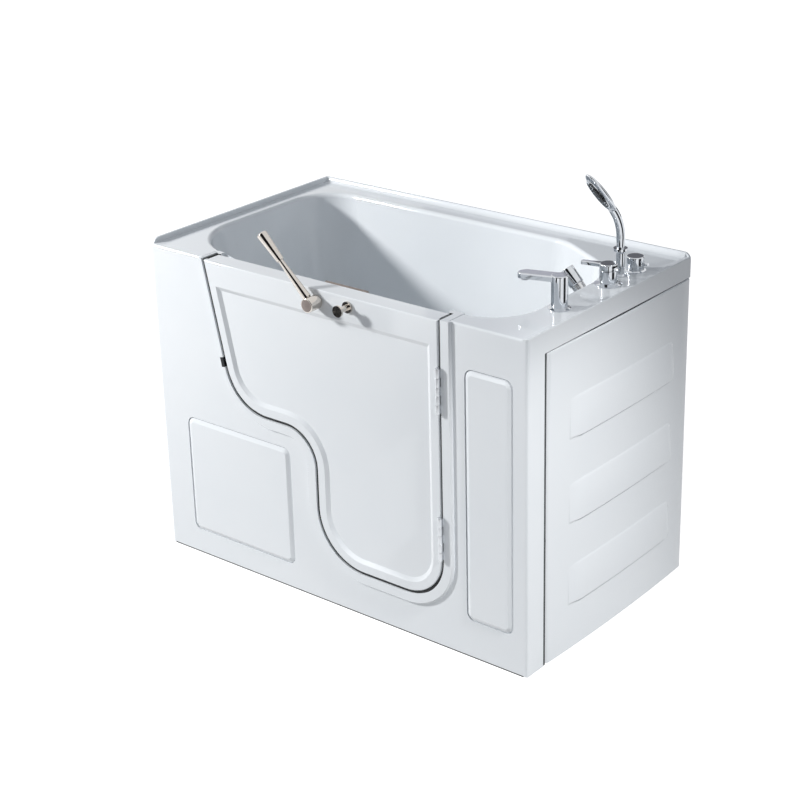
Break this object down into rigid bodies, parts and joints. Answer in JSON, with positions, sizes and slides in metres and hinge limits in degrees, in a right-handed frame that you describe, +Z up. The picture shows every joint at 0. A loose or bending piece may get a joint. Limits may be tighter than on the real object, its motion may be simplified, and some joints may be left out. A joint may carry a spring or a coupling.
{
  "type": "walk-in bathtub",
  "caption": "Moulded walk-in bathtub with a seat, an S-shaped outward door with seal, hinges and lever latch, deck spout, mixer, diverter and hand shower on a footed steel base.",
  "frame": {"origin": "on the floor under the middle of the footprint, at the centre foot's underside", "axes": "+X right along the front seen from outside, +Y to the back wall, +Z up"},
  "size_m": [1.3325, 0.825, 1.2521],
  "materials": {
    "white_acrylic": "glossy white acrylic",
    "white_frame": "glossy white powder coat",
    "dark_rubber": "matt dark rubber",
    "dark_steel": "dark plated steel",
    "hinge_metal": "satin steel",
    "chrome": "polished chrome",
    "satin_metal": "satin chrome",
    "spray_plastic": "pale grey plastic",
    "frame_steel": "zinc-plated steel",
    "black_plastic": "black nylon",
    "brass": "plain brass",
    "pipe_plastic": "white pipe plastic"
  },
  "bodies": {
    "tub": {"tub_shell": "white_acrylic", "front_apron": "white_acrylic", "access_panel_square": "white_acrylic", "access_panel_tall": "white_acrylic", "end_panel": "white_acrylic", "door_frame": "white_frame", "door_seal": "dark_rubber", "foot_pads": "dark_rubber", "strike_plate": "dark_steel", "hinge_frame_leaves": "hinge_metal", "spout_flange": "chrome", "spout_body": "chrome", "mixer_flange": "chrome", "mixer_body": "chrome", "diverter_valve": "chrome", "shower_guide": "chrome", "shower_nut": "chrome", "drain_flange": "chrome", "overflow_body": "satin_metal", "spout_aerator": "spray_plastic", "base_rails": "frame_steel", "base_crossbars": "frame_steel", "corner_posts": "frame_steel", "seat_legs": "frame_steel", "seat_bearers": "frame_steel", "foot_studs": "frame_steel", "foot_lock_nuts": "frame_steel", "deck_nuts": "brass", "mixer_valve": "brass", "hot_tail": "brass", "cold_tail": "brass", "spout_pipe": "brass", "diverter_pipe": "brass", "waste_elbow": "pipe_plastic", "overflow_pipe": "pipe_plastic"},
    "door": {"door_outer_skin": "white_acrylic", "door_inner_skin": "white_acrylic", "hinge_door_leaves": "hinge_metal", "hinge_pins": "hinge_metal", "lever_bush": "chrome", "lever_rest_peg": "chrome", "inner_handle": "chrome", "latch_guides": "black_plastic"},
    "latch_lever": {"lever_hub": "chrome", "lever_rod": "chrome", "lever_grip": "chrome", "lever_spindle": "frame_steel", "latch_cam": "frame_steel"},
    "latch_bolt": {"latch_rod": "frame_steel"},
    "mixer_turret": {"mixer_collar": "chrome"},
    "mixer_handle": {"mixer_lever": "chrome"},
    "diverter_handle": {"diverter_knob": "chrome"},
    "drain_control": {"overflow_knob": "satin_metal"},
    "drain_stopper": {"drain_plug": "chrome"},
    "shower_bracket": {"shower_cone": "chrome"},
    "hand_shower": {"shower_handle": "chrome", "shower_head": "chrome", "shower_face": "spray_plastic"}
  },
  "joints": [
    {"name": "door_swing", "type": "hinge", "parent": "tub", "child": "door", "pos_m": [0.39, -0.4018, 0.5475], "axis": [0, 0, 1], "range_deg": [0, 110]},
    {"name": "lever_turn", "type": "hinge", "parent": "door", "child": "latch_lever", "pos_m": [-0.017, -0.394, 0.918], "axis": [0, 1, 0], "range_deg": [0, 123]},
    {"name": "latch_slide", "type": "slide", "parent": "door", "child": "latch_bolt", "axis": [-0.8131, 0, -0.5821], "range_m": [0, 0.02]},
    {"name": "mixer_turn", "type": "hinge", "parent": "tub", "child": "mixer_turret", "pos_m": [0.592, 0.076, 0.994], "axis": [0, 0, 1], "range_deg": [-45, 45]},
    {"name": "mixer_lift", "type": "hinge", "parent": "mixer_turret", "child": "mixer_handle", "pos_m": [0.612, 0.076, 1.0015], "axis": [0, 1, 0], "range_deg": [0, 20]},
    {"name": "diverter_turn", "type": "hinge", "parent": "tub", "child": "diverter_handle", "pos_m": [0.592, 0.208, 0.98], "axis": [0, 0, 1], "range_deg": [-45, 45]},
    {"name": "drain_turn", "type": "hinge", "parent": "tub", "child": "drain_control", "pos_m": [0.54227, 0.038, 0.926], "axis": [-0.6947, 0, 0.7193], "range_deg": [0, 120]},
    {"name": "drain_lift", "type": "slide", "parent": "tub", "child": "drain_stopper", "axis": [0, 0, 1], "range_m": [0, 0.008]},
    {"name": "shower_lift", "type": "slide", "parent": "tub", "child": "shower_bracket", "axis": [0, 0, 1], "range_m": [0, 0.15]},
    {"name": "shower_swivel", "type": "hinge", "parent": "shower_bracket", "child": "hand_shower", "pos_m": [0.58, 0.152, 1.038], "axis": [0, 0, 1], "range_deg": [-60, 60]}
  ],
  "couplings": [
    {"joint": "latch_slide", "follows": "lever_turn", "m_per_rad": 0.0093164},
    {"joint": "drain_lift", "follows": "drain_turn", "m_per_rad": 0.0038197}
  ]
}
